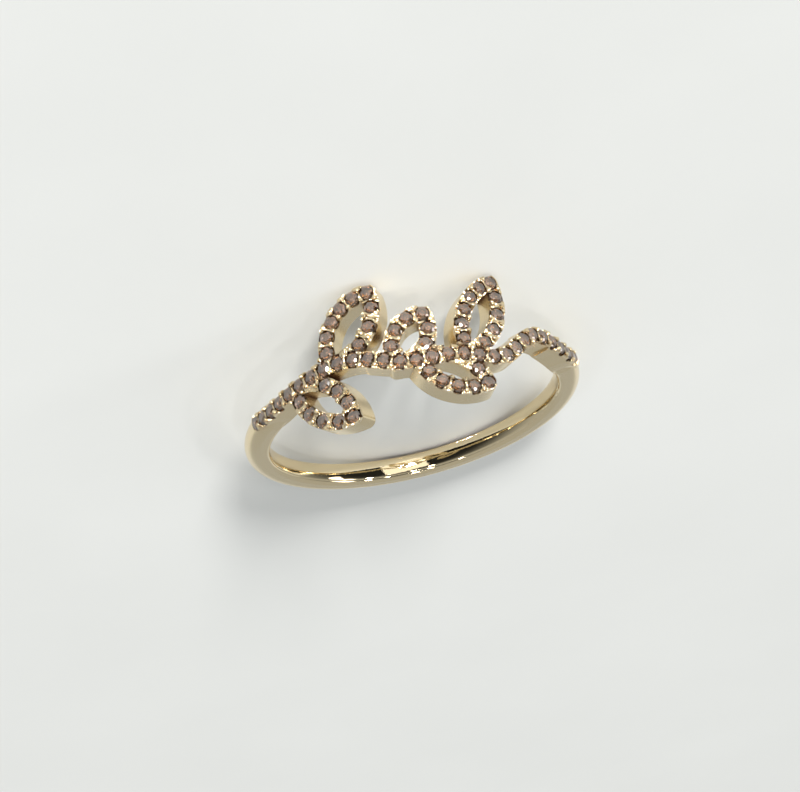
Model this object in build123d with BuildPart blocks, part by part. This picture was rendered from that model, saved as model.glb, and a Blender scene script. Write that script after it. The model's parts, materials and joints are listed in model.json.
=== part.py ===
"""A slim gold finger ring whose open head is a waved stem with pointed leaves, set with stones.

The ring is first built about the Z axis with the middle of its head at -Y. The head is drawn
flat: u runs along its face, to the right seen from in front, and z runs up. Every flat place
is then turned round the finger. At the end the ring is laid down as it rests by itself, on the
tips of its two tall leaves and on the back of its shank.
"""

import os
from itertools import combinations
from math import cos, degrees, sin

from build123d import *

# Finger hole and shank, in mm
bore_radius = 8.65
shank_width = 1.44
shank_thickness = 1.4
shank_edge_radius = 0.3
shoulder_start = 12.0
shoulder_end = 8.4
shoulder_width = 0.8
shoulder_stretches = 3

# Head, in mm
head_thickness = 1.45
stroke_rim = 0.08

# Stones, in mm, and their proportions as shares of the diameter
stone_diameter = 0.78
stone_spacing = 0.12
stone_clearance = 0.02
stone_sink = 0.05
facet_count = 8
table_share = 0.56
crown_share = 0.15
girdle_share = 0.04
pavilion_share = 0.42
culet_share = 0.06

# Beads that hold the stones, and the scallops beside each stone, in mm
bead_radius = 0.12
bead_rise = 0.03
scallop_radius = 0.26

# The stem's centreline on the flat face: (u, z), from the left shoulder to the right
stem_route = [
    (-12.4, 0.0),
    (-9.0, 0.0),
    (-6.4, 0.35),
    (-4.0, 0.2),
    (-1.4, -0.75),
    (1.6, -0.85),
    (4.6, -1.15),
    (6.9, 0.2),
    (9.0, 0.05),
    (12.4, 0.0),
]
stem_stretches = 14

# The leaves' centrelines, in mm
leaf_columns = ("foot_u", "foot_z", "tip_u", "tip_z", "width")
leaf_rows = {
    "tall_left": (-5.6, 0.4, -2.5, 3.8, 2.2),
    "tall_right": (2.3, -0.85, 4.8, 3.3, 2.0),
    "hanging_left": (-8.2, 0.05, -5.0, -2.9, 1.9),
    "small": (-1.85, -0.7, 0.2, 1.8, 1.85),
    "hanging_right": (-0.6, -0.85, 2.9, -2.8, 1.75),
}

# Worked out from the sizes above
face_radius = bore_radius + head_thickness
stroke_width = stone_diameter + 2 * stroke_rim
stone_radius = stone_diameter / 2
stone_pitch = stone_diameter + stone_spacing
seat_radius = stone_radius + stone_clearance
bead_offset = (stroke_width - stroke_rim) / 2 - bead_radius
neighbour_reach = 1.3 * stone_pitch
search_step = stone_pitch / 40
ring_reach = 4 * bore_radius


def leaf_named(name):
    """One leaf's sizes by column name."""
    return dict(zip(leaf_columns, leaf_rows[name]))


def radial_plane(u, z=0.0, radius=0.0, along=(1.0, 0.0)):
    """The plane square to the finger's radius at u, its x axis along (du, dz) on the face."""
    azimuth = u / face_radius
    outward = Vector(sin(azimuth), -cos(azimuth), 0)
    sideways = Vector(cos(azimuth), sin(azimuth), 0)
    origin = outward * radius + Vector(0, 0, z)
    return Plane(origin=origin, x_dir=sideways * along[0] + Vector(0, 0, along[1]), z_dir=outward)


def section_plane(u):
    """The plane through the finger's axis at u: x runs outward and y runs up."""
    azimuth = u / face_radius
    return Plane(
        origin=(0, 0, 0),
        x_dir=(sin(azimuth), -cos(azimuth), 0),
        z_dir=(-cos(azimuth), -sin(azimuth), 0),
    )


def leaf_outline(name):
    """A leaf's centreline: one arc from foot to tip and one back."""
    leaf = leaf_named(name)
    foot = (leaf["foot_u"], leaf["foot_z"])
    tip = (leaf["tip_u"], leaf["tip_z"])
    with BuildLine() as outline:
        SagittaArc(foot, tip, leaf["width"] / 2)
        SagittaArc(tip, foot, leaf["width"] / 2)
    return outline.line


def leaf_face(name, growth):
    """The leaf's flat shape, grown outward or shrunk inward from its centreline."""
    with BuildSketch() as leaf:
        with BuildLine():
            add(leaf_outline(name))
        make_face()
        offset(amount=growth)
    return leaf.sketch


def band_section(u, width):
    """The shank's section at u: a round back, sides, and rounded edges to the finger hole.

    Its inner side reaches into the finger hole, which is bored through everything later.
    """
    waist = bore_radius + shank_thickness - width / 2
    flat_half = width / 2 - shank_edge_radius
    edge_end = bore_radius + shank_edge_radius
    inside = bore_radius - shank_thickness
    with BuildSketch(section_plane(u)) as section:
        with BuildLine():
            Polyline((bore_radius, -flat_half), (inside, -flat_half), (inside, flat_half),
                     (bore_radius, flat_half))
            RadiusArc((bore_radius, flat_half), (edge_end, width / 2), shank_edge_radius)
            Line((edge_end, width / 2), (waist, width / 2))
            ThreePointArc((waist, width / 2), (waist + width / 2, 0), (waist, -width / 2))
            Line((waist, -width / 2), (edge_end, -width / 2))
            RadiusArc((edge_end, -width / 2), (bore_radius, -flat_half), shank_edge_radius)
        make_face()
    return section.sketch


def is_clear(place, others, distance):
    """Whether a flat place lies at least this far from all the others."""
    return all((place - other).length >= distance for other in others)


def point_on(curve, length):
    """The place at this length along a flat curve."""
    return curve.position_at(length, PositionMode.LENGTH)


def lengths_along(first, last, spacing):
    """Even lengths from first to last, at this spacing or a little more."""
    count = int((last - first) / spacing)
    return [first + (last - first) * step / max(count, 1) for step in range(count + 1)]


def stone_row(curve, taken):
    """Places and directions of the stones along a curve, from its first clear place to its last."""
    tried = lengths_along(0, curve.length, search_step)
    free = [length for length in tried if is_clear(point_on(curve, length), taken, stone_pitch)]
    row = []
    for length in lengths_along(free[0], free[-1], stone_pitch) if free else []:
        place = point_on(curve, length)
        if is_clear(place, taken, stone_pitch):
            row.append((place, curve.tangent_at(length, PositionMode.LENGTH)))
    return row


def on_shoulder(location):
    """Whether a place on the ring lies on a shoulder, beyond the head's ends."""
    return abs(location.position.X) > face_radius * sin(shoulder_end / face_radius)


# The stones' places on the flat face: along the stem, then round each leaf where there is room
with BuildLine() as stem:
    Spline(*stem_route)
stem_curve = stem.edges()[0]
curves = [stem_curve]
for name in leaf_rows:
    curves += leaf_outline(name).edges()

stone_seats = []
for curve in curves:
    stone_seats += stone_row(curve, [place for place, _ in stone_seats])
stone_places = [place for place, _ in stone_seats]

# Two beads stand beside the gap between two neighbours, clear of every seat and well on the stroke
centrelines = [
    point_on(curve, length)
    for curve in curves
    for length in lengths_along(0, curve.length, search_step)
]
bead_places = []
for first, second in combinations(stone_places, 2):
    across = Vector(first.Y - second.Y, second.X - first.X)
    if across.length < neighbour_reach:
        for side in (-1, 1):
            bead = (first + second) / 2 + across.normalized() * side * bead_offset
            off_seats = is_clear(bead, stone_places, seat_radius + bead_radius)
            off_beads = is_clear(bead, bead_places, 2 * bead_radius)
            off_rim = not is_clear(bead, centrelines, stroke_width / 2 - stroke_rim)
            if off_seats and off_beads and off_rim:
                bead_places.append(bead)

seat_locations = [
    radial_plane(place.X, place.Y, face_radius, (direction.X, direction.Y)).location
    for place, direction in stone_seats
]
bead_locations = [
    radial_plane(place.X, place.Y, face_radius + bead_rise).location for place in bead_places
]
print("stones", len(seat_locations), "beads", len(bead_locations))

# Stone: a brilliant with a table, and eight facets each on crown, girdle and pavilion
girdle_top = -stone_sink
girdle_foot = girdle_top - girdle_share * stone_diameter
table_height = girdle_top + crown_share * stone_diameter
culet_height = girdle_foot - pavilion_share * stone_diameter
stone_profile = [
    (culet_height, stone_radius * culet_share),
    (girdle_foot, stone_radius),
    (girdle_top, stone_radius),
    (table_height, stone_radius * table_share),
]
with BuildPart() as stone:
    for height, radius in stone_profile:
        with BuildSketch(Plane.XY.offset(height)):
            RegularPolygon(radius, facet_count)
    loft(ruled=True)

# Seat: what is cut away for one stone, with a scallop open on both sides of the stroke
seat_floor = culet_height - stone_clearance
with BuildPart() as seat:
    with BuildSketch(Plane.XZ):
        Polygon(
            (0, seat_floor),
            (seat_radius, girdle_foot),
            (seat_radius, head_thickness),
            (0, head_thickness),
            align=None,
        )
    revolve(axis=Axis.Z)
    Cylinder(scallop_radius, stroke_width + 2 * stone_clearance, rotation=(90, 0, 0))

# Bead: the round head of one small prong
with BuildPart() as bead_head:
    Sphere(bead_radius)

# Cast metal: stem and leaves, turned to the face's radius, then shank and shoulders, then the hole
leaf_frames = [
    (
        (leaf_named(name)["foot_u"] + leaf_named(name)["tip_u"]) / 2,
        leaf_face(name, stroke_width / 2),
        leaf_face(name, -stroke_width / 2),
    )
    for name in leaf_rows
]
stem_stations = [stem_curve @ (step / (2 * stem_stretches)) for step in range(2 * stem_stretches + 1)]

with BuildPart() as gold_ring:
    for middle_u, outer, opening in leaf_frames:
        with BuildSketch(radial_plane(middle_u, radius=bore_radius / 2)):
            add(outer.moved(Location((-middle_u, 0, 0))))
            add(opening.moved(Location((-middle_u, 0, 0))), mode=Mode.SUBTRACT)
    for first in range(0, 2 * stem_stretches, 2):
        start, middle, end = stem_stations[first : first + 3]
        with BuildSketch(radial_plane(middle.X, radius=bore_radius / 2)):
            with BuildLine():
                ThreePointArc(*(place - Vector(middle.X, 0) for place in (start, middle, end)))
                offset(amount=stroke_width / 2)
            make_face()
    extrude(amount=face_radius)
    Cylinder(face_radius, ring_reach, mode=Mode.INTERSECT)
    add(band_section(shoulder_start, shank_width))
    revolve(axis=Axis.Z, revolution_arc=360 - 2 * degrees(shoulder_start / face_radius))
    for side in (-1, 1):
        for step in range(shoulder_stretches + 1):
            share = step / shoulder_stretches
            reach = shoulder_start + (shoulder_end - shoulder_start) * share
            add(band_section(side * reach, shank_width + (shoulder_width - shank_width) * share))
        loft()
    Cylinder(bore_radius, ring_reach, mode=Mode.SUBTRACT)
    with Locations(*seat_locations):
        add(seat.part, mode=Mode.SUBTRACT)
    with Locations(*bead_locations):
        add(bead_head.part)

# Stones of the head, and of the two short rows on the shoulders
with BuildPart() as scroll_stones:
    with Locations(*(place for place in seat_locations if not on_shoulder(place))):
        add(stone.part)

with BuildPart() as shoulder_stones:
    with Locations(*(place for place in seat_locations if on_shoulder(place))):
        add(stone.part)

# Laid down: the floor touches the tips of the two tall leaves and the back of the shank
tip_supports = []
for name in ("tall_left", "tall_right"):
    tip = leaf_named(name)
    top = tip["tip_z"] + stroke_width / 2
    tip_supports.append(radial_plane(tip["tip_u"], top, bore_radius).origin)
back_radius = bore_radius + shank_thickness - shank_width / 2
back_support = Vector(0, back_radius, shank_width / 2)
left_support, right_support = tip_supports
upward = (right_support - back_support).cross(left_support - back_support)
floor = Plane(origin=back_support, x_dir=(-1, 0, 0), z_dir=upward)
gold_ring.part.move(floor.location.inverse())
box = gold_ring.part.bounding_box()
centring = Location((-box.center().X, -box.center().Y, -box.min.Z))
rest = centring * floor.location.inverse()
gold_ring.part.move(centring)
scroll_stones.part.move(rest)
shoulder_stones.part.move(rest)
print("finger hole's centre", rest.position, "axis", Plane(rest).z_dir)

os.makedirs("parts", exist_ok=True)
gold_ring.part.label = "gold_ring"
scroll_stones.part.label = "scroll_stones"
shoulder_stones.part.label = "shoulder_stones"
export_step(gold_ring.part, "parts/gold_ring.step")
export_step(scroll_stones.part, "parts/scroll_stones.step")
export_step(shoulder_stones.part, "parts/shoulder_stones.step")
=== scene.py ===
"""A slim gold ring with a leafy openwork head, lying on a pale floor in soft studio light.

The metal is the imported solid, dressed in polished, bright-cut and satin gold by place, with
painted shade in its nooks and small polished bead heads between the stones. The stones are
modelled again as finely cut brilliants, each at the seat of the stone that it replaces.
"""

import itertools
import json
import logging
import math
import random
from dataclasses import dataclass
from enum import Enum
from typing import Any

import bpy
from mathutils import Matrix, Vector


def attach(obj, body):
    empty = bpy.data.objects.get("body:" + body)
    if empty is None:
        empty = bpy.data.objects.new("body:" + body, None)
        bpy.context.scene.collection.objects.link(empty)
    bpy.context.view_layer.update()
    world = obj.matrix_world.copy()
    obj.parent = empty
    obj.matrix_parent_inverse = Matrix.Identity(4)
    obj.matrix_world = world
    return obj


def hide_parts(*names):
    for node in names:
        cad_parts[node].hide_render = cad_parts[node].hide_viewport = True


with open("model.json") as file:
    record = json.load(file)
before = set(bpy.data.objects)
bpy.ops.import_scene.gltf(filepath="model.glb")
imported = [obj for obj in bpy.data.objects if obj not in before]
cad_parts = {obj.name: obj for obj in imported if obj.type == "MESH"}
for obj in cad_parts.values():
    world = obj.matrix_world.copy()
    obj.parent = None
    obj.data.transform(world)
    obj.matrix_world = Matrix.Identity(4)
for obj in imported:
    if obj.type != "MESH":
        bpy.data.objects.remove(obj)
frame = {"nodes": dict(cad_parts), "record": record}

LOG = logging.getLogger("ring")
MM = 0.001
BODY = "root"
Colour = tuple[float, float, float, float]


class Direction(Enum):
    """Where a studio light hangs: (azimuth, elevation) in degrees, azimuth 0 on the head's side."""

    KEY = (-6.0, 15.0)
    WINDOW = (-8.5, 17.0)
    SIDE = (-70.0, 25.0)
    LAMP_HIGH = (-8.0, 60.0)
    LAMP_LEFT = (42.0, 38.0)
    LAMP_RIGHT = (-52.0, 42.0)
    LAMP_NEAR = (12.0, 48.0)
    LAMP_FAR = (-28.0, 34.0)


LAMPS = (
    Direction.LAMP_HIGH,
    Direction.LAMP_LEFT,
    Direction.LAMP_RIGHT,
    Direction.LAMP_NEAR,
    Direction.LAMP_FAR,
)


def direction_of(azimuth: float, elevation: float) -> Vector:
    """Turns two angles into the direction from the ring.

    Args:
        azimuth: degrees round from the head's side.
        elevation: degrees above the floor.

    Returns:
        The direction, of length 1.
    """
    azimuth, elevation = math.radians(azimuth), math.radians(elevation)
    across, along = math.sin(azimuth), -math.cos(azimuth)
    return Vector((across * math.cos(elevation), along * math.cos(elevation), math.sin(elevation)))


def tidy_selection() -> None:
    """Leaves edit mode and deselects everything."""
    if bpy.context.object and bpy.context.object.mode != "OBJECT":
        bpy.ops.object.mode_set(mode="OBJECT")
    bpy.ops.object.select_all(action="DESELECT")


def copy_of(source: bpy.types.Object) -> bpy.types.Object:
    """Copies a piece together with its mesh.

    Args:
        source: the piece that is copied.

    Returns:
        The copy, linked to the scene.
    """
    copy = source.copy()
    copy.data = source.data.copy()
    bpy.context.collection.objects.link(copy)
    return copy


def join_all(parts: list[bpy.types.Object], name: str) -> bpy.types.Object:
    """Joins many small parts into one piece.

    Args:
        parts: the parts, all without a turn or scale of their own.
        name: the piece's name.

    Returns:
        The joined piece.
    """
    tidy_selection()
    for part in parts:
        part.select_set(True)
    bpy.context.view_layer.objects.active = parts[0]
    bpy.ops.object.join()
    piece = bpy.context.object
    piece.name = name
    return piece


def dress(piece: bpy.types.Object, material: bpy.types.Material) -> None:
    """Gives a piece one material on all its faces.

    Args:
        piece: the mesh object.
        material: the finish that it gets.
    """
    piece.data.materials.clear()
    piece.data.materials.append(material)


@dataclass
class Wiring:
    """The nodes of one material or surround, and the ways to add and join them."""

    tree: bpy.types.NodeTree

    def add(self, kind: str, inputs: dict[str | int, Any] | None = None, **settings: Any) -> Any:
        """Adds a node.

        Args:
            kind: the node's type, without the "ShaderNode" before it.
            inputs: what its inputs get, as in fill.
            settings: its own properties, such as operation.

        Returns:
            The node.
        """
        node = self.tree.nodes.new("ShaderNode" + kind)
        for name, value in settings.items():
            setattr(node, name, value)
        self.fill(node, inputs or {})
        return node

    def fill(self, node: bpy.types.Node, inputs: dict[str | int, Any]) -> None:
        """Gives inputs their values, or joins the sockets that feed them.

        Args:
            node: the node.
            inputs: a value or a socket for each input's name or number.
        """
        for name, value in inputs.items():
            if isinstance(value, bpy.types.NodeSocket):
                self.tree.links.new(value, node.inputs[name])
            else:
                node.inputs[name].default_value = value

    def compute(self, operation: str, first: Any, second: Any) -> bpy.types.NodeSocket:
        """Adds a node that works with two numbers.

        Args:
            operation: what it does with them, such as MULTIPLY.
            first: a value or a socket.
            second: a value or a socket.

        Returns:
            The socket that gives the result.
        """
        return self.add("Math", {0: first, 1: second}, operation=operation).outputs["Value"]


def new_material(name: str) -> tuple[bpy.types.Material, Wiring, bpy.types.Node]:
    """Makes a node material.

    Args:
        name: the material's name.

    Returns:
        The material, its wiring and its Principled shader.
    """
    material = bpy.data.materials.new(name)
    material.use_nodes = True
    return material, Wiring(material.node_tree), material.node_tree.nodes["Principled BSDF"]


@dataclass(frozen=True)
class RingAxis:
    """The finger hole's axis in the frame, read from the record's mount, in metres."""

    centre: Vector
    direction: Vector
    radius: float
    shank_middle: Vector

    @classmethod
    def from_record(cls, record: dict) -> "RingAxis":
        """Reads the finger hole's mount.

        Args:
            record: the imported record.

        Returns:
            The axis, with the place on it at the height of the shank's middle.
        """
        mount = next(mount for mount in record["mounts"] if mount["name"] == "finger_bore")
        centre, direction = Vector(mount["pos_m"]), Vector(mount["axis"]).normalized()
        corners = [corner.co for corner in frame["nodes"]["shoulder_stones"].data.vertices]
        shoulders = sum(corners, Vector()) / len(corners)
        middle = centre + direction * (shoulders - centre).dot(direction)
        return cls(centre, direction, mount["dims"]["r_mm"] * MM, middle)

    def outward(self, place: Vector) -> Vector:
        """Works out the direction from the axis to a place, of length 1.

        Args:
            place: any place off the axis.

        Returns:
            The direction, square to the axis.
        """
        reach = place - self.centre
        return (reach - self.direction * reach.dot(self.direction)).normalized()

    def turn(self) -> Matrix:
        """The rotation from the frame to the ring's own upright axes."""
        return self.direction.rotation_difference(Vector((0, 0, 1))).to_matrix()


@dataclass(frozen=True)
class RingPlace:
    """The sockets that tell a material where on the upright ring it is."""

    place: bpy.types.NodeSocket
    radius: bpy.types.NodeSocket
    back: bpy.types.NodeSocket
    height: bpy.types.NodeSocket

    @classmethod
    def wired(cls, wiring: Wiring, axis: RingAxis) -> "RingPlace":
        """Adds the nodes that work the place out.

        Args:
            wiring: the material's wiring.
            axis: the finger hole's axis.

        Returns:
            The place itself, its distance from the axis, how far it lies to the back, and its
            height above the shank's middle.
        """
        place = wiring.add("TexCoord").outputs["Object"]
        rotation = axis.turn()
        upright = wiring.add(
            "Mapping",
            {
                "Vector": place,
                "Rotation": rotation.to_euler(),
                "Location": -(rotation @ axis.shank_middle),
            },
            vector_type="POINT",
        ).outputs["Vector"]
        flat = wiring.add("VectorMath", {0: upright, 1: (1, 1, 0)}, operation="MULTIPLY")
        length = wiring.add("VectorMath", {0: flat.outputs["Vector"]}, operation="LENGTH")
        split = wiring.add("SeparateXYZ", {"Vector": upright})
        return cls(place, length.outputs["Value"], split.outputs["Y"], split.outputs["Z"])


@dataclass(frozen=True)
class GoldFinish:
    """Pale yellow gold: polished inside the shank, cut bright round the stones, satin elsewhere.

    Lengths are in millimetres. A depth is measured from the finger hole's wall into the metal, and
    cut_front from the axis towards the head. The dome falls by its number times the height
    squared, in metres, and the two scales count waves in a metre. The nook numbers paint shade
    into the colour: it darkens where ambient occlusion finds other surfaces close by, as between
    beads and stones.
    """

    colour: Colour = (0.86, 0.72, 0.47, 1.0)
    # painted shade: the gold's colour deep in nooks, and how far and how finely ambient occlusion
    # looks for them
    nook_shade_colour: Colour = (0.30, 0.19, 0.12, 1.0)
    nook_shade_reach: float = 0.4
    nook_shade_samples: int = 6
    nook_shade_closed: float = 0.25
    nook_shade_open: float = 0.85
    satin_roughness: float = 0.24
    mirror_roughness: float = 0.04
    mirror_depth: float = 0.03
    satin_depth: float = 0.12
    cut_roughness: float = 0.10
    cut_depth: float = 1.2
    cut_depth_fade: float = 0.1
    cut_front: float = 3.3
    cut_front_fade: float = 0.4
    cut_scale: float = 3800.0
    cut_height: float = 0.26
    dome: float = 250.0
    dome_drop: float = 0.45
    dome_depth: float = 0.02
    grain_scale: float = 9000.0
    grain_height: float = 0.004
    grain_strength: float = 0.4

    def material(self, axis: RingAxis) -> bpy.types.Material:
        """Builds the gold.

        Args:
            axis: the finger hole's axis, which the polish follows.

        Returns:
            The finished material.
        """
        material, wiring, shader = new_material("yellow_gold")
        ring = RingPlace.wired(wiring, axis)
        cut_share = self.cut_share(wiring, ring, axis)
        inputs = {
            "Metallic": 1.0,
            # the base colour carries painted shade in the nooks
            "Base Color": self.tone(wiring),
            "Roughness": self.roughness(wiring, ring, cut_share, axis),
            "Normal": self.relief(wiring, ring, cut_share, axis),
        }
        wiring.fill(shader, inputs)
        return material

    def tone(self, wiring: Wiring) -> bpy.types.NodeSocket:
        """Paints shade into the gold's colour, dark in the nooks that ambient occlusion finds.

        Args:
            wiring: the material's wiring.

        Returns:
            The socket with the colour, painted shade included.
        """
        # painted shade: ambient occlusion darkens the colour between beads, stones and the floor
        nook_occlusion = wiring.add(
            "AmbientOcclusion", {"Distance": self.nook_shade_reach * MM}, samples=self.nook_shade_samples
        )
        unshaded_share = wiring.add(
            "MapRange",
            {"Value": nook_occlusion.outputs["AO"], "From Min": self.nook_shade_closed, "From Max": self.nook_shade_open},
        )
        colours = {
            "A": self.nook_shade_colour,
            "B": self.colour,
            "Factor": unshaded_share.outputs["Result"],
        }
        return wiring.add("Mix", colours, data_type="RGBA").outputs["Result"]

    def cut_share(self, wiring: Wiring, ring: RingPlace, axis: RingAxis) -> bpy.types.NodeSocket:
        """Finds the bright-cut face of the head: far from the axis and on the head's side.

        Args:
            wiring: the material's wiring.
            ring: where on the ring a point lies.
            axis: the finger hole's axis.

        Returns:
            The socket with 1 on that face and 0 elsewhere.
        """
        outer = wiring.add(
            "MapRange",
            {
                "Value": ring.radius,
                "From Min": axis.radius + self.cut_depth * MM,
                "From Max": axis.radius + (self.cut_depth + self.cut_depth_fade) * MM,
            },
        )
        front = wiring.add(
            "MapRange",
            {
                "Value": ring.back,
                "From Min": -self.cut_front * MM,
                "From Max": -(self.cut_front + self.cut_front_fade) * MM,
            },
        )
        return wiring.compute("MULTIPLY", outer.outputs["Result"], front.outputs["Result"])

    def roughness(
        self, wiring: Wiring, ring: RingPlace, cut_share: bpy.types.NodeSocket, axis: RingAxis
    ) -> bpy.types.NodeSocket:
        """Polishes the finger hole's wall and the bright-cut face, and leaves the rest satin.

        Args:
            wiring: the material's wiring.
            ring: where on the ring a point lies.
            cut_share: 1 on the bright-cut face and 0 elsewhere.
            axis: the finger hole's axis.

        Returns:
            The socket with the roughness.
        """
        polish = wiring.add(
            "MapRange",
            {
                "Value": ring.radius,
                "From Min": axis.radius + self.mirror_depth * MM,
                "From Max": axis.radius + self.satin_depth * MM,
                "To Min": self.mirror_roughness,
                "To Max": self.satin_roughness,
            },
        )
        gloss = {"A": polish.outputs["Result"], "B": self.cut_roughness, "Factor": cut_share}
        return wiring.add("Mix", gloss).outputs["Result"]

    def relief(
        self, wiring: Wiring, ring: RingPlace, cut_share: bpy.types.NodeSocket, axis: RingAxis
    ) -> bpy.types.NodeSocket:
        """Domes the polish of the finger hole's wall, and adds the grain and the small cuts.

        Args:
            wiring: the material's wiring.
            ring: where on the ring a point lies.
            cut_share: 1 on the bright-cut face and 0 elsewhere.
            axis: the finger hole's axis.

        Returns:
            The socket with the surface's direction.
        """
        rise = wiring.compute("ADD", ring.height, self.dome_drop * MM)
        profile = wiring.compute("MULTIPLY", wiring.compute("MULTIPLY", rise, rise), -self.dome)
        inside = wiring.compute("LESS_THAN", ring.radius, axis.radius + self.dome_depth * MM)
        domed = wiring.add(
            "Bump", {"Distance": 1.0, "Height": wiring.compute("MULTIPLY", profile, inside)}
        )
        grain = wiring.add("TexNoise", {"Scale": self.grain_scale, "Vector": ring.place})
        grained = wiring.add(
            "Bump",
            {
                "Distance": self.grain_height * MM,
                "Strength": self.grain_strength,
                "Height": grain.outputs["Fac"],
                "Normal": domed.outputs["Normal"],
            },
        )
        cuts = wiring.add("TexNoise", {"Scale": self.cut_scale, "Vector": ring.place})
        cut = wiring.add(
            "Bump",
            {
                "Distance": self.cut_height * MM,
                "Strength": cut_share,
                "Height": cuts.outputs["Fac"],
                "Normal": grained.outputs["Normal"],
            },
        )
        return cut.outputs["Normal"]


@dataclass(frozen=True)
class StoneFinish:
    """Champagne-coloured stone: clear, smooth and warm brown, with a high refractive index."""

    colour: Colour = (0.60, 0.46, 0.41, 1.0)
    roughness: float = 0.0
    refraction: float = 2.4
    clearness: float = 1.0

    def material(self) -> bpy.types.Material:
        """Builds the stone's material.

        Returns:
            The finished material.
        """
        material, wiring, shader = new_material("champagne_stone")
        inputs = {
            "Base Color": self.colour,
            "Roughness": self.roughness,
            "IOR": self.refraction,
            "Transmission Weight": self.clearness,
        }
        wiring.fill(shader, inputs)
        return material


@dataclass(frozen=True)
class FloorFinish:
    """Matte off-white paper with a faint mottle."""

    light: Colour = (0.78, 0.79, 0.77, 1.0)
    dark: Colour = (0.72, 0.73, 0.71, 1.0)
    roughness: float = 0.85
    mottle_scale: float = 60.0
    mottle_detail: float = 5.0

    def material(self) -> bpy.types.Material:
        """Builds the paper's material.

        Returns:
            The finished material.
        """
        material, wiring, shader = new_material("pale_paper")
        place = wiring.add("TexCoord").outputs["Object"]
        mottle = wiring.add(
            "TexNoise",
            {"Scale": self.mottle_scale, "Detail": self.mottle_detail, "Vector": place},
        )
        colours = {"A": self.dark, "B": self.light, "Factor": mottle.outputs["Fac"]}
        tone = wiring.add("Mix", colours, data_type="RGBA")
        wiring.fill(shader, {"Roughness": self.roughness, "Base Color": tone.outputs["Result"]})
        return material


@dataclass
class PhotoCamera:
    """The camera at the photograph's angle to the ring, in millimetres and degrees."""

    aim: tuple[float, float, float] = (0.59, -0.22, 1.63)
    distance: float = 146.25
    azimuth: float = 8.49
    elevation: float = 32.43
    roll: float = 167.01
    lens: float = 112.5
    sensor: float = 36.0
    nearest: float = 5.0

    def build(self) -> None:
        """Adds the camera and makes it the scene's own."""
        away = direction_of(self.azimuth, self.elevation)
        tidy_selection()
        bpy.ops.object.camera_add(location=(Vector(self.aim) + away * self.distance) * MM)
        camera = bpy.context.object
        facing = (-away).to_track_quat("-Z", "Y").to_matrix()
        spin = Matrix.Rotation(math.radians(self.roll), 3, "Z")
        camera.rotation_euler = (facing @ spin).to_euler()
        camera.data.lens = self.lens
        camera.data.sensor_width = self.sensor
        camera.data.clip_start = self.nearest * MM
        bpy.context.scene.camera = camera


@dataclass
class Studio:
    """Pale floor, soft lights and a pale surround, sized in millimetres."""

    floor_size: float = 4000.0
    light_distance: float = 1500.0
    warm_loss: tuple[float, float, float] = (0.0, 0.1, 0.25)
    surround_colour: Colour = (0.97, 1.0, 1.0, 1.0)
    surround_pale: float = 0.46
    surround_dim: float = 0.02
    pale_side: tuple[float, float, float] = (0.0, 0.75, 0.66)
    pale_from: float = -0.30
    pale_to: float = 0.45

    def floor(self) -> None:
        """Adds the floor, its top at the surface on which the ring lies."""
        tidy_selection()
        bpy.ops.mesh.primitive_plane_add(size=self.floor_size * MM)
        floor = bpy.context.object
        floor.name = "floor"
        dress(floor, FloorFinish().material())

    def light(
        self, place: Direction, width: float, height: float, radiance: float, warmth: float = 0.0
    ) -> None:
        """Hangs one soft light that faces the ring.

        Args:
            place: where it hangs.
            width: its width, in millimetres.
            height: its height, in millimetres.
            radiance: how bright its face is, where 1 is white paper in full light.
            warmth: 0 for white, 1 for the full warm tint.
        """
        away = direction_of(*place.value)
        tidy_selection()
        bpy.ops.object.light_add(type="AREA", location=away * self.light_distance * MM)
        lamp = bpy.context.object
        lamp.name = "light_" + place.name.lower()
        lamp.rotation_euler = (-away).to_track_quat("-Z", "Y").to_euler()
        lamp.data.shape = "RECTANGLE"
        lamp.data.size = width * MM
        lamp.data.size_y = height * MM
        lamp.data.energy = radiance * math.pi * width * height * MM * MM
        lamp.data.color = [1.0 - loss * warmth for loss in self.warm_loss]

    def surround(self) -> None:
        """Sets the surround: pale overhead and behind, dim on the head's side."""
        world = bpy.data.worlds.new("surround")
        world.use_nodes = True
        bpy.context.scene.world = world
        wiring = Wiring(world.node_tree)
        place = wiring.add("TexCoord").outputs["Generated"]
        share = wiring.add("VectorMath", {0: place, 1: self.pale_side}, operation="DOT_PRODUCT")
        strength = wiring.add(
            "MapRange",
            {
                "Value": share.outputs["Value"],
                "From Min": self.pale_from,
                "From Max": self.pale_to,
                "To Min": self.surround_dim,
                "To Max": self.surround_pale,
            },
            interpolation_type="SMOOTHSTEP",
        )
        background = world.node_tree.nodes["Background"]
        inputs = {"Color": self.surround_colour, "Strength": strength.outputs["Result"]}
        wiring.fill(background, inputs)

    def build(self) -> None:
        """Adds everything round the ring."""
        self.floor()
        self.light(Direction.KEY, width=335.0, height=250.0, radiance=142.0, warmth=0.1)
        self.light(Direction.WINDOW, width=930.0, height=860.0, radiance=1.3, warmth=0.2)
        self.light(Direction.SIDE, width=285.0, height=750.0, radiance=4.0)
        for place in LAMPS:
            self.light(place, width=110.0, height=110.0, radiance=36.0)
        self.surround()
        bpy.context.scene.view_settings.view_transform = "Standard"


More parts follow.
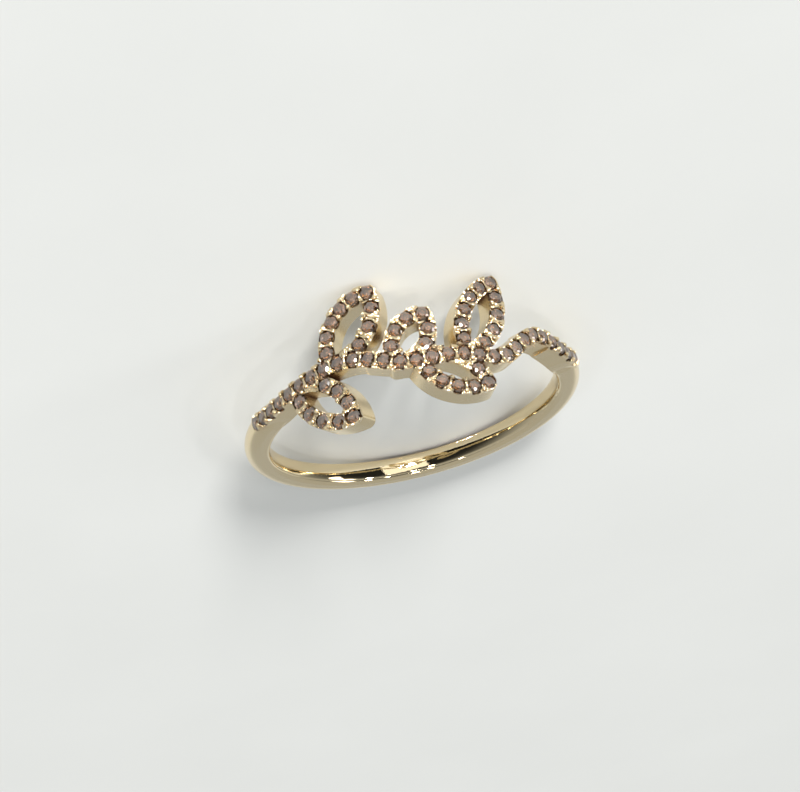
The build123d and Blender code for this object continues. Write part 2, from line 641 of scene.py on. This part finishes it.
@dataclass(frozen=True)
class Seat:
    """Where one stone sits: the middle of its table, its outward direction and its radius."""

    table: Vector
    outward: Vector
    radius: float

    @classmethod
    def from_corners(cls, corners: list[Vector], axis: RingAxis) -> "Seat":
        """Finds the seat of one stone.

        Args:
            corners: the stone's corners.
            axis: the finger hole's axis, from which the stone faces away.

        Returns:
            The seat.
        """
        middle = sum(corners, Vector()) / len(corners)
        outward = axis.outward(middle)
        heights = [(corner - middle).dot(outward) for corner in corners]
        spreads = [
            (corner - middle - outward * height).length for corner, height in zip(corners, heights)
        ]
        return cls(middle + outward * max(heights), outward, max(spreads))

    def distance(self, place: Vector) -> float:
        """Measures how far a place lies from the line through the stone's middle.

        Args:
            place: any place near the stone.

        Returns:
            The distance, in metres.
        """
        reach = place - self.table
        return (reach - self.outward * reach.dot(self.outward)).length


@dataclass
class StoneField:
    """The set stones, cut again as brilliants.

    The brilliant's proportions are shares of its radius, and fold is how often its cut repeats.
    Corners nearer than merge_reach, in millimetres, count as one when stones are told apart.
    """

    nodes: tuple[str, ...] = ("scroll_stones", "shoulder_stones")
    merge_reach: float = 0.0002
    fold: int = 8
    table: float = 0.56
    star: float = 0.79
    girdle: float = 0.06
    crown: float = 0.32
    lower_half: float = 0.30
    pavilion: float = 0.86
    culet: float = 0.04
    growth: float = 1.05
    seed: int = 11

    def seats(self, node: str, axis: RingAxis) -> list[Seat]:
        """Finds the seat of each loose stone of a CAD node.

        Args:
            node: the CAD node's name.
            axis: the finger hole's axis.

        Returns:
            One seat for each stone.
        """
        tidy_selection()
        work = copy_of(frame["nodes"][node])
        work.select_set(True)
        bpy.context.view_layer.objects.active = work
        bpy.ops.object.mode_set(mode="EDIT")
        bpy.ops.mesh.select_all(action="SELECT")
        bpy.ops.mesh.remove_doubles(threshold=self.merge_reach * MM)
        bpy.ops.mesh.separate(type="LOOSE")
        bpy.ops.object.mode_set(mode="OBJECT")
        found = []
        for loose in list(bpy.context.selected_objects):
            corners = [corner.co.copy() for corner in loose.data.vertices]
            found.append(Seat.from_corners(corners, axis))
            bpy.data.objects.remove(loose)
        return found

    def brilliant(self) -> bpy.types.Object:
        """Cuts one brilliant of radius 1, with its table at the origin and facing up.

        It is the hull of six rings of corners: the table's, the stars', the girdle's upper and
        lower edge, the lower halves' and the culet's.

        Returns:
            The brilliant.
        """
        half_step = math.tau / self.fold / 2
        crown_slope = self.crown / (1.0 - self.table)
        star_drop = crown_slope * (self.star * math.cos(half_step) - self.table)
        girdle_foot = self.crown + self.girdle
        main_slope = self.pavilion / (1.0 - self.culet)
        half_drop = main_slope * (1.0 - self.lower_half * math.cos(half_step))
        rings = (
            (self.fold, self.table, 0.0, 0.0),
            (self.fold, self.star, star_drop, half_step),
            (2 * self.fold, 1.0, self.crown, 0.0),
            (2 * self.fold, 1.0, girdle_foot, 0.0),
            (self.fold, self.lower_half, girdle_foot + half_drop, half_step),
            (self.fold, self.culet, girdle_foot + self.pavilion, 0.0),
        )
        tidy_selection()
        for corners, radius, depth, turn in rings:
            bpy.ops.mesh.primitive_circle_add(
                vertices=corners,
                radius=radius,
                location=(0, 0, -depth),
                rotation=(0, 0, turn),
                enter_editmode=True,
            )
        bpy.ops.mesh.select_all(action="SELECT")
        bpy.ops.mesh.convex_hull(join_triangles=False)
        bpy.ops.mesh.normals_make_consistent(inside=False)
        bpy.ops.object.mode_set(mode="OBJECT")
        return bpy.context.object

    def build(self, seats: dict[str, list[Seat]]) -> list[bpy.types.Object]:
        """Sets one brilliant in each seat and joins them node by node.

        Args:
            seats: the seats of each CAD node's stones.

        Returns:
            One piece for each CAD node.
        """
        finish = StoneFinish().material()
        dice = random.Random(self.seed)
        pattern = self.brilliant()
        pieces = []
        for node in self.nodes:
            cut = []
            for seat in seats[node]:
                stone = copy_of(pattern)
                facing = seat.outward.to_track_quat("Z", "Y").to_matrix().to_4x4()
                spin = Matrix.Rotation(dice.uniform(0, math.tau / self.fold), 4, "Z")
                size = Matrix.Scale(seat.radius * self.growth, 4)
                stone.data.transform(Matrix.Translation(seat.table) @ facing @ spin @ size)
                cut.append(stone)
            piece = join_all(cut, node.replace("_stones", "_brilliants"))
            dress(piece, finish)
            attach(piece, BODY)
            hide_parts(node)
            pieces.append(piece)
        bpy.data.objects.remove(pattern)
        return pieces


@dataclass
class Metal:
    """The cast gold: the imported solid, and polished bead heads between the stones.

    Lengths are in millimetres, but bead_foot, bead_spacing and bead_search are shares of the
    bead's radius. The crease is in degrees.
    """

    node: str = "gold_ring"
    bead_radius: float = 0.15
    bead_rise: float = 0.02
    bead_foot: float = 0.6
    bead_offset: float = 0.31
    bead_spacing: float = 1.7
    bead_search: float = 2.5
    bead_detail: int = 2
    bead_overlap: float = 0.05
    table_rise: float = 0.067
    neighbour_reach: float = 1.2
    crease: float = 50.0

    def build(self, axis: RingAxis, seats: list[Seat]) -> list[bpy.types.Object]:
        """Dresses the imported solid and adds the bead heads.

        Args:
            axis: the finger hole's axis.
            seats: the seats of all the stones.

        Returns:
            The CAD node and the beads' piece.
        """
        finish = GoldFinish().material(axis)
        ring = frame["nodes"][self.node]
        dress(ring, finish)
        return [ring, self.bead_heads(seats, finish)]

    def bead_places(self, seats: list[Seat]) -> list[tuple[Vector, Vector]]:
        """Works out where a pair of beads stands between each two neighbouring stones.

        Args:
            seats: the seats of all the stones.

        Returns:
            Each bead head's middle and its outward direction.
        """
        places: list[tuple[Vector, Vector]] = []
        for first, second in itertools.combinations(seats, 2):
            along = second.table - first.table
            if along.length > self.neighbour_reach * MM:
                continue
            outward = (first.outward + second.outward).normalized()
            across = outward.cross(along).normalized() * self.bead_offset * MM
            sink = outward * (self.table_rise - self.bead_rise) * MM
            middle = (first.table + second.table) / 2 - sink
            for bead in (middle + across, middle - across):
                others = [place for place, _ in places]
                if self.has_room(bead, seats, others) and self.on_metal(bead, outward):
                    places.append((bead, outward))
        return places

    def has_room(self, bead: Vector, seats: list[Seat], others: list[Vector]) -> bool:
        """Tells whether a bead head is clear of all the stones and the other heads.

        Args:
            bead: the head's middle.
            seats: the seats of all the stones.
            others: the middles of the heads already placed.

        Returns:
            Whether it is clear.
        """
        past_stone = (self.bead_radius - self.bead_overlap) * MM
        spacing = self.bead_spacing * self.bead_radius * MM
        off_stones = all(seat.distance(bead) > seat.radius + past_stone for seat in seats)
        return off_stones and all((bead - other).length > spacing for other in others)

    def on_metal(self, bead: Vector, outward: Vector) -> bool:
        """Tells whether a bead head stands on the cast metal and not over an opening.

        Args:
            bead: the head's middle.
            outward: its outward direction.

        Returns:
            Whether metal lies straight below its top, within bead_search.
        """
        radius = self.bead_radius * MM
        metal = frame["nodes"][self.node]
        top = bead + outward * radius
        return metal.ray_cast(top, -outward, distance=self.bead_search * radius)[0]

    def bead(self) -> bpy.types.Object:
        """Models one bead head of radius 1: a ball whose hidden foot is cut off flat.

        Returns:
            The bead head.
        """
        tidy_selection()
        bpy.ops.mesh.primitive_ico_sphere_add(
            subdivisions=self.bead_detail, radius=1.0, enter_editmode=True
        )
        bpy.ops.mesh.select_all(action="SELECT")
        bpy.ops.mesh.bisect(
            plane_co=(0, 0, -self.bead_foot), plane_no=(0, 0, 1), use_fill=True, clear_inner=True
        )
        bpy.ops.mesh.select_all(action="SELECT")
        bpy.ops.mesh.normals_make_consistent(inside=False)
        bpy.ops.object.mode_set(mode="OBJECT")
        bpy.ops.object.shade_smooth_by_angle(angle=math.radians(self.crease))
        return bpy.context.object

    def bead_heads(self, seats: list[Seat], finish: bpy.types.Material) -> bpy.types.Object:
        """Raises a small polished bead head at each place.

        Args:
            seats: the seats of all the stones.
            finish: the gold.

        Returns:
            All the bead heads as one piece.
        """
        pattern = self.bead()
        heads = []
        for place, outward in self.bead_places(seats):
            head = copy_of(pattern)
            facing = outward.to_track_quat("Z", "Y").to_matrix().to_4x4()
            size = Matrix.Scale(self.bead_radius * MM, 4)
            head.data.transform(Matrix.Translation(place) @ facing @ size)
            heads.append(head)
        bpy.data.objects.remove(pattern)
        piece = join_all(heads, "bead_heads")
        dress(piece, finish)
        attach(piece, BODY)
        return piece


def main() -> None:
    """Builds the camera, the studio and the ring in order."""
    logging.basicConfig(level=logging.INFO, format="%(name)s: %(message)s")
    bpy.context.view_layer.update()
    axis = RingAxis.from_record(frame["record"])
    PhotoCamera().build()
    Studio().build()
    stones = StoneField()
    seats = {node: stones.seats(node, axis) for node in stones.nodes}
    LOG.info("stones: %s", [piece.name for piece in stones.build(seats)])
    every_seat = [seat for row in seats.values() for seat in row]
    LOG.info("metal: %s", [piece.name for piece in Metal().build(axis, every_seat)])


if __name__ == "__main__":
    main()
